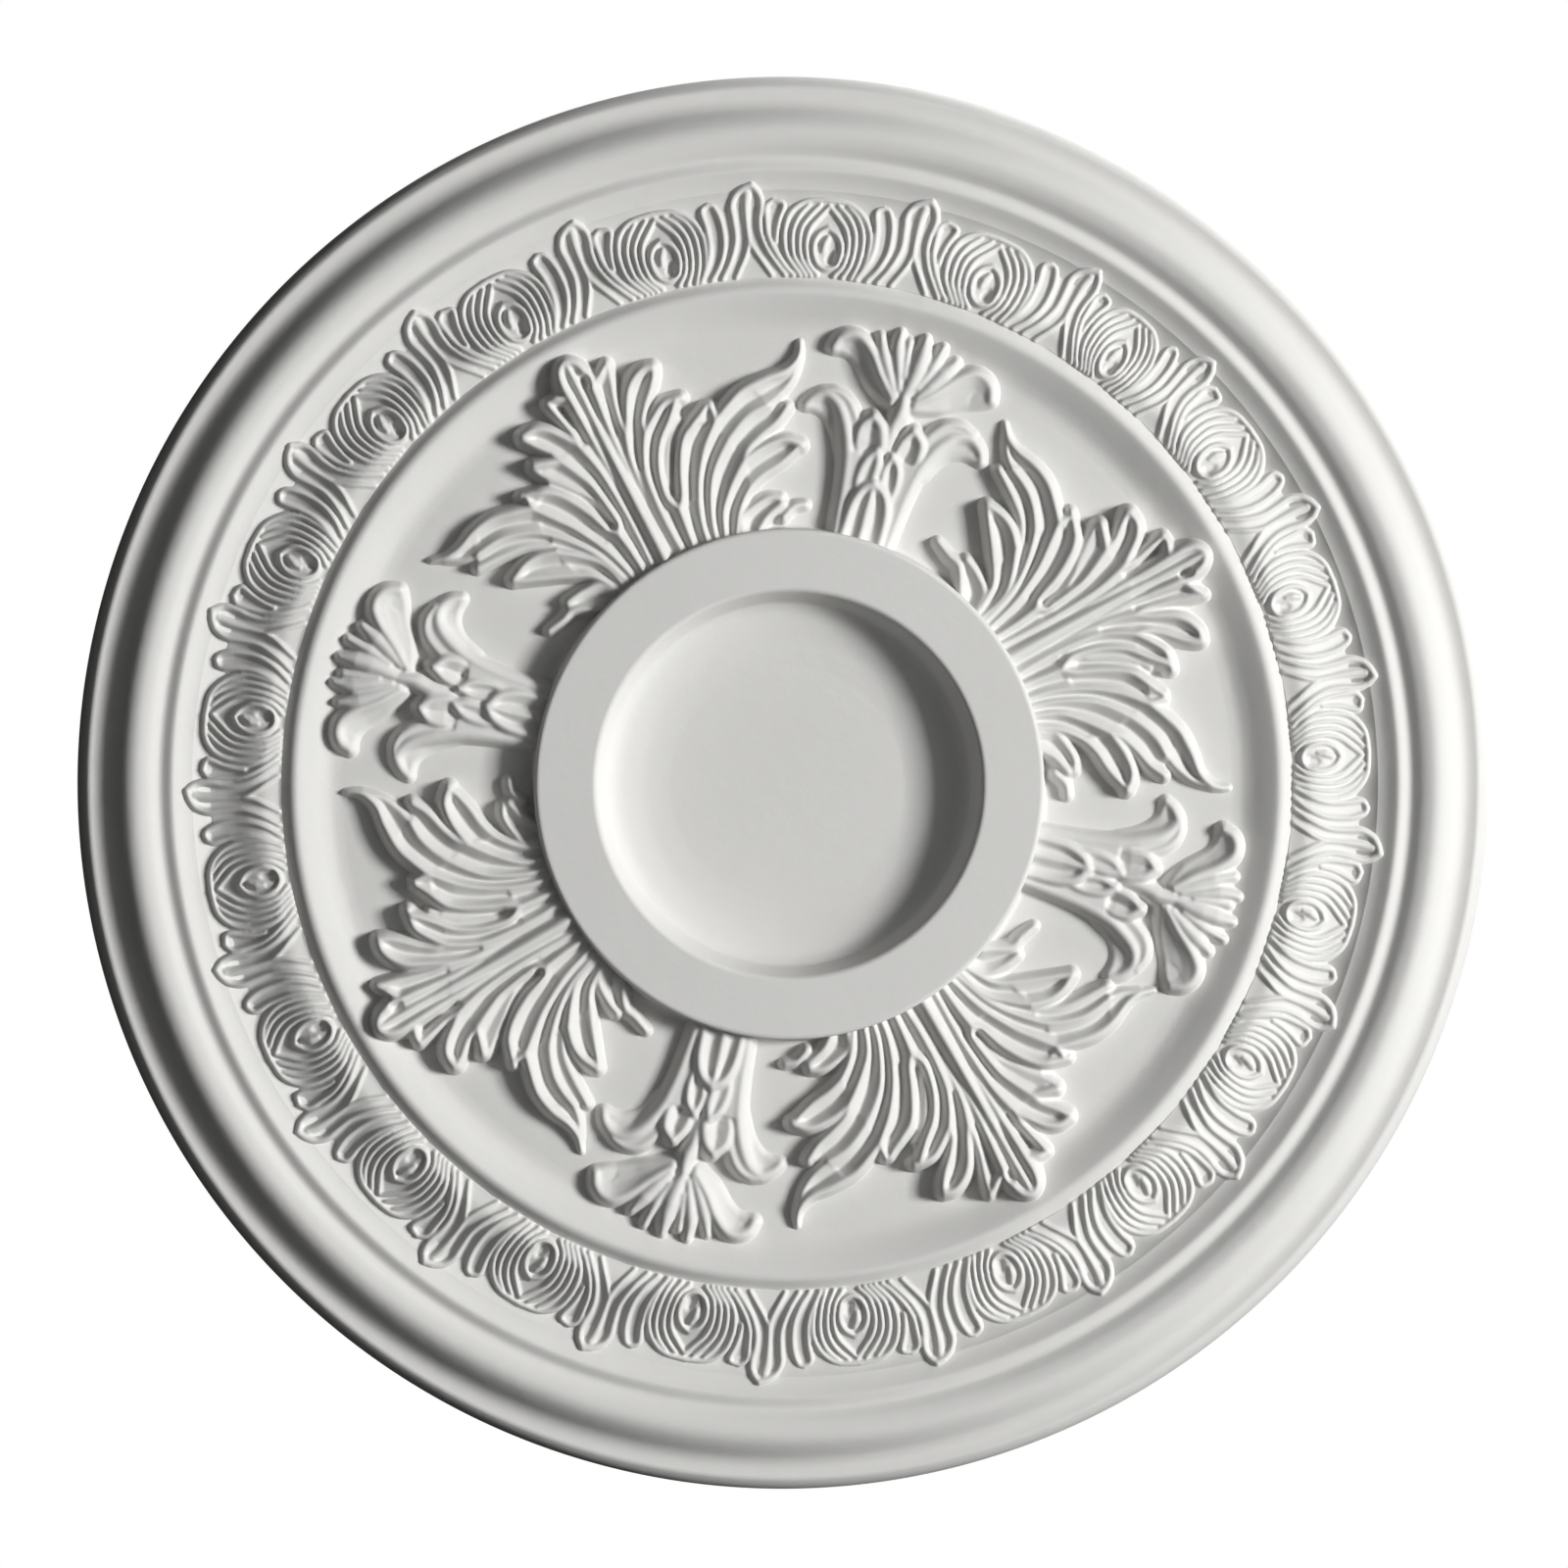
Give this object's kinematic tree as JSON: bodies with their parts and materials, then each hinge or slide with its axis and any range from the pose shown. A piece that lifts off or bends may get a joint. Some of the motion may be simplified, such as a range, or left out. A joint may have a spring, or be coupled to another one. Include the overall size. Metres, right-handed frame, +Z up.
{
  "type": "ceiling rose",
  "caption": "Round cast plaster ceiling rose: carved acanthus leaves and palmettes around a flat ring with a dished centre for a light fitting, inside an egg-and-dart band and roll edge.",
  "frame": {"origin": "centre of the flat back, in the plane of the ceiling that the rose hangs under", "axes": "+Z points up into the ceiling, at right angles to the back; the carved face looks down along -Z; +X and -Y are the right and the top of the carved face as the picture shows it"},
  "size_m": [0.6, 0.6, 0.029],
  "materials": {
    "plaster": "matte"
  },
  "bodies": {
    "root": {"ceiling_rose": "plaster"}
  },
  "joints": []
}
